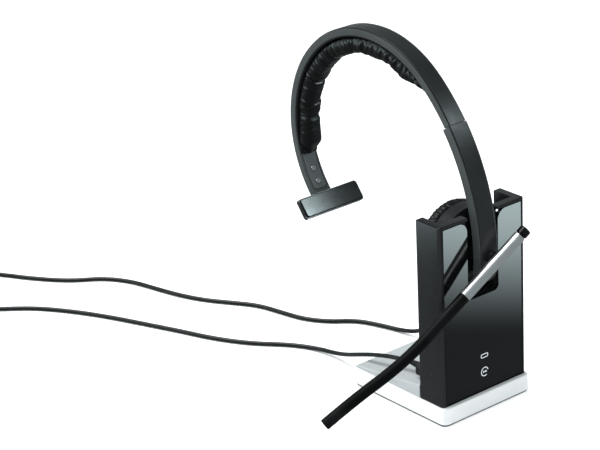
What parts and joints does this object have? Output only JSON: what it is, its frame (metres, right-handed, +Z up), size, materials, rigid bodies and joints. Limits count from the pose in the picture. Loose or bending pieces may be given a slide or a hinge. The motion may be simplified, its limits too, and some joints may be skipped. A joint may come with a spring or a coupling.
{
  "type": "office headset",
  "caption": "One-ear wireless office headset with a sprung headband, temple pad and swinging microphone boom, standing in its charging dock with cords.",
  "frame": {"origin": "middle of the underside of the dock, on the table", "axes": "+X across the dock, +Y from its front face to its back, +Z up"},
  "size_m": [0.2177, 0.4066, 0.2085],
  "materials": {
    "tower_black": "fine satin, black",
    "deck_grey": "fine satin, light grey",
    "dock_white": "satin, off-white",
    "panel_gloss": "clear gloss, dark grey",
    "mark_white": "lit translucent white",
    "status_lens": "clear lit lens",
    "inner_black": "fine matt black",
    "foot_rubber": "matt, fine grip pattern",
    "ballast_steel": "plain zinc-plated",
    "screw_steel": "machined",
    "contact_gold": "gold-plated",
    "board_green": "solder-masked circuit board",
    "shield_tin": "tinned sheet",
    "plug_black": "fine moulded texture",
    "plug_clear": "clear moulded",
    "cord_sheath": "smooth satin sheath",
    "cup_black": "semi-gloss black",
    "housing_black": "satin black",
    "cushion_leather": "soft leatherette",
    "speaker_black": "matt",
    "battery_foil": "soft foil pouch",
    "band_dark": "satin dark grey, fine grain",
    "band_grey": "satin mid grey",
    "spring_steel": "rolled strip",
    "slider_steel": "brushed strip",
    "plate_black": "satin black",
    "pad_foam": "ruched soft leatherette",
    "temple_grey": "satin dark grey",
    "temple_rubber": "soft-touch satin",
    "boom_silver": "fine brushed, satin",
    "boom_black": "satin black",
    "button_black": "gloss black",
    "stud_steel": "turned"
  },
  "bodies": {
    "dock": {"base_housing": "dock_white", "bottom_cover": "inner_black", "bottom_screws": "screw_steel", "ballast_plate": "ballast_steel", "foot_pad": "foot_rubber", "rear_deck": "deck_grey", "tower_shell": "tower_black", "status_light": "status_lens", "front_panel": "panel_gloss", "window_mark": "mark_white", "ring_mark": "mark_white", "cradle_saddle": "inner_black", "charging_pins": "contact_gold", "rear_cover": "tower_black", "rear_cover_screws": "screw_steel", "dock_board": "board_green", "radio_shield": "shield_tin", "usb_socket": "shield_tin", "line_socket": "inner_black", "usb_plug": "plug_black", "usb_strain_relief": "plug_black", "line_plug": "plug_clear", "line_strain_relief": "plug_black", "usb_cord": "cord_sheath", "line_cord": "cord_sheath", "usb_cord_coil": "cord_sheath", "line_cord_coil": "cord_sheath", "computer_plug_grip": "plug_black", "computer_plug_shell": "shield_tin", "phone_plug": "plug_clear"},
    "arm": {"arm_outer_shell": "band_dark", "arm_frame": "band_grey", "cup_ball_stud": "stud_steel", "slider_strip": "slider_steel"},
    "cup": {"cup_cover": "cup_black", "cup_housing": "housing_black", "charging_pads": "contact_gold", "speaker_baffle": "speaker_black", "speaker_driver": "shield_tin", "headset_board": "board_green", "headset_battery": "battery_foil", "ear_cushion": "cushion_leather"},
    "band": {"headband_cover": "band_dark", "headband_frame": "band_grey", "headband_spring": "spring_steel", "end_plate": "plate_black", "end_screws": "screw_steel", "pad_carrier": "inner_black", "head_pad": "pad_foam", "temple_bracket": "housing_black", "temple_pin": "stud_steel"},
    "temple": {"temple_plate": "temple_grey", "temple_pad": "temple_rubber"},
    "boom": {"boom_tube": "boom_silver", "boom_arm": "boom_black", "microphone_tip": "boom_black", "microphone_capsule": "shield_tin", "boom_hub": "cup_black", "mute_switch": "inner_black"},
    "button": {"mute_button": "button_black"}
  },
  "joints": [
    {"name": "headset_lift", "type": "slide", "parent": "dock", "child": "arm", "axis": [0, 0, 1], "range_m": [0, 0.075]},
    {"name": "cup_tilt", "type": "hinge", "parent": "arm", "child": "cup", "pos_m": [0, -0.03245, 0.0962], "axis": [1, 0, 0], "range_deg": [0, 6]},
    {"name": "headband_extend", "type": "hinge", "parent": "arm", "child": "band", "pos_m": [0, 0.08515, 0.0946], "axis": [-1, 0, 0], "range_deg": [0, 11.27]},
    {"name": "temple_tilt", "type": "hinge", "parent": "band", "child": "temple", "pos_m": [0, 0.09492, 0.09051], "axis": [1, 0, 0], "range_deg": [-10, 10]},
    {"name": "boom_swing", "type": "hinge", "parent": "arm", "child": "boom", "pos_m": [0, -0.03665, 0.0962], "axis": [0, 1, 0], "range_deg": [-8, 262]},
    {"name": "mute_press", "type": "slide", "parent": "boom", "child": "button", "axis": [-0.7924, 0.1299, -0.596], "range_m": [0, 0.0008], "stiffness_N_per_m": 600}
  ]
}
